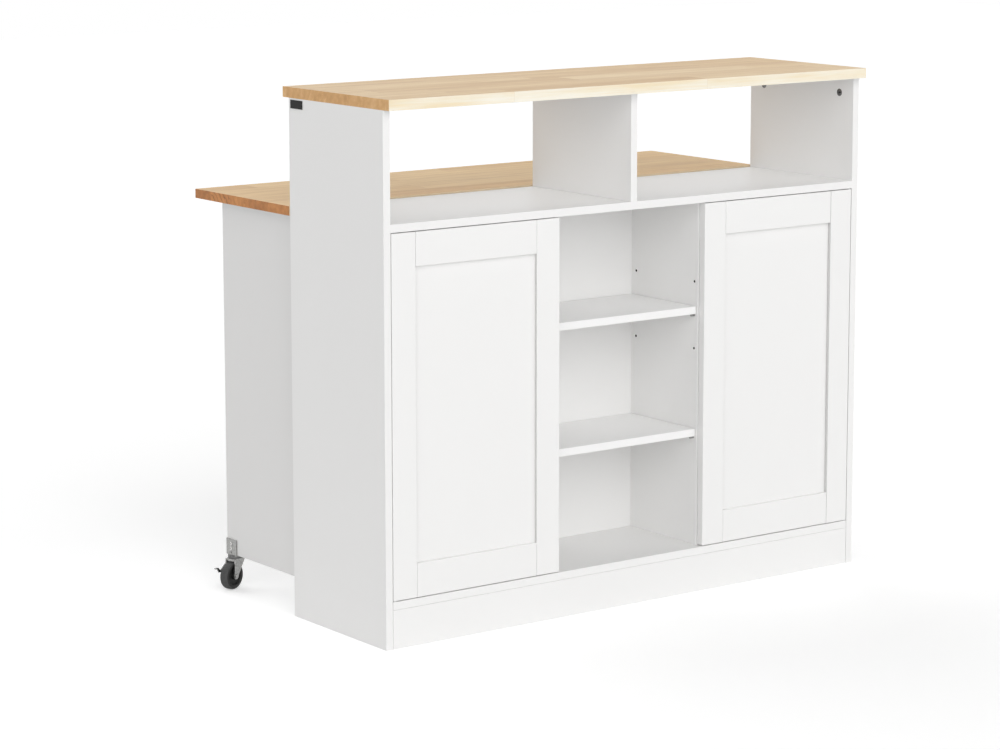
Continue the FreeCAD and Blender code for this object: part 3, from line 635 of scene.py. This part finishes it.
for name, slot in slotOf.items():
    if slot not in fittings:
        continue
    material, ease = fittings[slot]
    materials, detail = (material,), None
    # screw and cam lock crosses take a dark second material, painted shade in the recesses
    if name.endswith("_caster_screws"):
        materials, detail = (headZinc, darkZincAndRecessShade), partial(sinkCrosses, look=crossLooks["screw"])
    elif name == "cam_locks":
        materials, detail = (material, plastics["blackHubAndRecessShade"]), partial(sinkCrosses, look=crossLooks["camLock"])
    elif name.endswith("_caster_bracket"):
        materials, detail = (material, darkZincAndRecessShade), markRaceShade
    easedCopy(name, ease, fittingLook["segments"], materials, detail)
print("fittings done")

# caster wheels: turned profile with a sunk web, a hub boss and a ribbed tread
wheelLook = {
    "radius": 0.027,
    "width": 0.018,
    "boreRadius": 0.0031,
    "bossRadius": 0.0065,
    "webRadii": (0.0075, 0.0180),
    "webDepth": 0.0030,
    "rimRadius": 0.0195,
    "rimStep": 0.0004,
    "shoulder": 0.0030,
    "treadEdge": (0.0010, 0.0012),
    "crown": 0.0030,
    "ribs": 40,
    "stepsPerRib": 4,
    "ribDepth": 0.0006,
    "ribReach": 0.0002,
    "smoothDegrees": 35,
    "materials": ("blackTread", "blackRim", "blackHubAndRecessShade"),
}


def casterWheel(node, look):
    spin = jointOf[nodes[node]["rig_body"]]
    half = look["width"] / 2
    radius = look["radius"]
    inner, outer = look["webRadii"]
    edgeIn, edgeDown = look["treadEdge"]
    side = [
        (half, look["boreRadius"]),
        (half, look["bossRadius"]),
        (half - look["webDepth"], inner),
        (half - look["webDepth"], outer),
        (half - look["rimStep"], look["rimRadius"]),
        (half - look["rimStep"], radius - look["shoulder"]),
        (half - edgeIn, radius - edgeDown),
        (half - look["crown"], radius),
    ]
    profile = side + [(-place, reach) for place, reach in reversed(side)]
    steps = look["ribs"] * look["stepsPerRib"]
    bm = bmesh.new()
    verts = [bm.verts.new((place, reach, 0.0)) for place, reach in profile]
    loop = verts + verts[:1]
    edges = [bm.edges.new(pair) for pair in zip(loop[:-1], loop[1:])]
    bmesh.ops.spin(bm, geom=verts + edges, cent=(0, 0, 0), axis=(1, 0, 0), angle=math.tau,
                   steps=steps, use_merge=True)
    bmesh.ops.remove_doubles(bm, verts=bm.verts, dist=finishing["mergeDistance"])
    bmesh.ops.recalc_face_normals(bm, faces=bm.faces)
    for vert in bm.verts:
        reach = math.hypot(vert.co.y, vert.co.z)
        step = round(math.atan2(vert.co.z, vert.co.y) / math.tau * steps)
        if reach > radius - look["ribReach"] and step % look["stepsPerRib"] == 0:
            vert.co.yz *= (reach - look["ribDepth"]) / reach
    for face in bm.faces:
        middle = face.calc_center_median()
        reach = math.hypot(middle.y, middle.z)
        zone = "blackRim" if reach > outer else "blackHubAndRecessShade"
        if reach > radius - look["shoulder"]:
            zone = "blackTread"
        face.material_index = look["materials"].index(zone)
    turn = Vector((1, 0, 0)).rotation_difference(Vector(spin["axis"])).to_matrix().to_4x4()
    bmesh.ops.transform(bm, matrix=Matrix.Translation(spin["pos_m"]) @ turn, verts=bm.verts)
    finishMesh(bm, node, [plastics[name] for name in look["materials"]], look["smoothDegrees"])


wheelNodes = [name for name, slot in slotOf.items() if slot == "black_wheel"]
for name in wheelNodes:
    casterWheel(name, wheelLook)
print("caster wheels:", len(wheelNodes))

# floor, pale, with a little lift so that it reads white beside the shadow
floorLook = {
    "reach": 14.0,
    "tone": (0.90, 0.90, 0.90),
    "roughness": 0.8,
    "lift": 0.38,
    "liftTone": (1.0, 1.0, 1.0),
}


def makeFloor(look):
    bm = bmesh.new()
    bmesh.ops.create_grid(bm, x_segments=1, y_segments=1, size=look["reach"])
    mesh = bpy.data.meshes.new("studioFloor")
    bm.to_mesh(mesh)
    bm.free()
    material, tree, shader = newMaterial("paleFloor")
    shader.inputs["Base Color"].default_value = (*look["tone"], 1.0)
    shader.inputs["Roughness"].default_value = look["roughness"]
    shader.inputs["Specular IOR Level"].default_value = 0.0
    shader.inputs["Emission Color"].default_value = (*look["liftTone"], 1.0)
    feed(tree, shader.inputs["Emission Strength"], calc(tree, "MULTIPLY", seenDirectly(tree), look["lift"]))
    mesh.materials.append(material)
    floor = bpy.data.objects.new("studioFloor", mesh)
    scene.collection.objects.link(floor)


makeFloor(floorLook)

# light: a dim even surround and three broad lamps, two from the front and one from behind
worldLook = {"tone": (1.0, 1.0, 1.0), "strength": 0.25}
lampLooks = {
    "softFill": {"from": (-0.55, -0.80, 0.30), "spreadDegrees": 70.0, "strength": 1.33},
    "softKey": {"from": (0.15, -0.90, 0.40), "spreadDegrees": 70.0, "strength": 1.05},
    "softBack": {"from": (-0.15, 0.80, 0.52), "spreadDegrees": 70.0, "strength": 1.25},
}


def makeWorld(look):
    world = bpy.data.worlds.new("studioSurround")
    scene.world = world
    world.use_nodes = True
    tree = world.node_tree
    surround = tree.nodes["Background"]
    surround.inputs["Color"].default_value = (*look["tone"], 1.0)
    feed(tree, surround.inputs["Strength"], remap(tree, seenDirectly(tree), look["strength"], 1.0))


def makeLamp(name, look):
    lamp = bpy.data.lights.new(name, "SUN")
    lamp.energy = look["strength"]
    lamp.angle = math.radians(look["spreadDegrees"])
    holder = bpy.data.objects.new(name, lamp)
    holder.rotation_euler = Vector(look["from"]).to_track_quat("Z", "Y").to_euler()
    scene.collection.objects.link(holder)


makeWorld(worldLook)
for name, look in lampLooks.items():
    makeLamp(name, look)
print("floor and lights made")

# camera at the photograph's angle
cameraLook = {
    "place": (-3.664, -4.878, 1.519),
    "turnDegrees": (81.036, 0.066, -36.297),
    "sensorWidth": 36.0,
    "lens": 111.53,
    "shiftY": -0.075,
}
camera = bpy.data.cameras.new("photoCamera")
camera.sensor_width = cameraLook["sensorWidth"]
camera.lens = cameraLook["lens"]
camera.shift_y = cameraLook["shiftY"]
cameraHolder = bpy.data.objects.new("photoCamera", camera)
cameraHolder.location = cameraLook["place"]
cameraHolder.rotation_euler = [math.radians(turn) for turn in cameraLook["turnDegrees"]]
scene.collection.objects.link(cameraHolder)
scene.camera = cameraHolder
scene.view_settings.view_transform = "Standard"
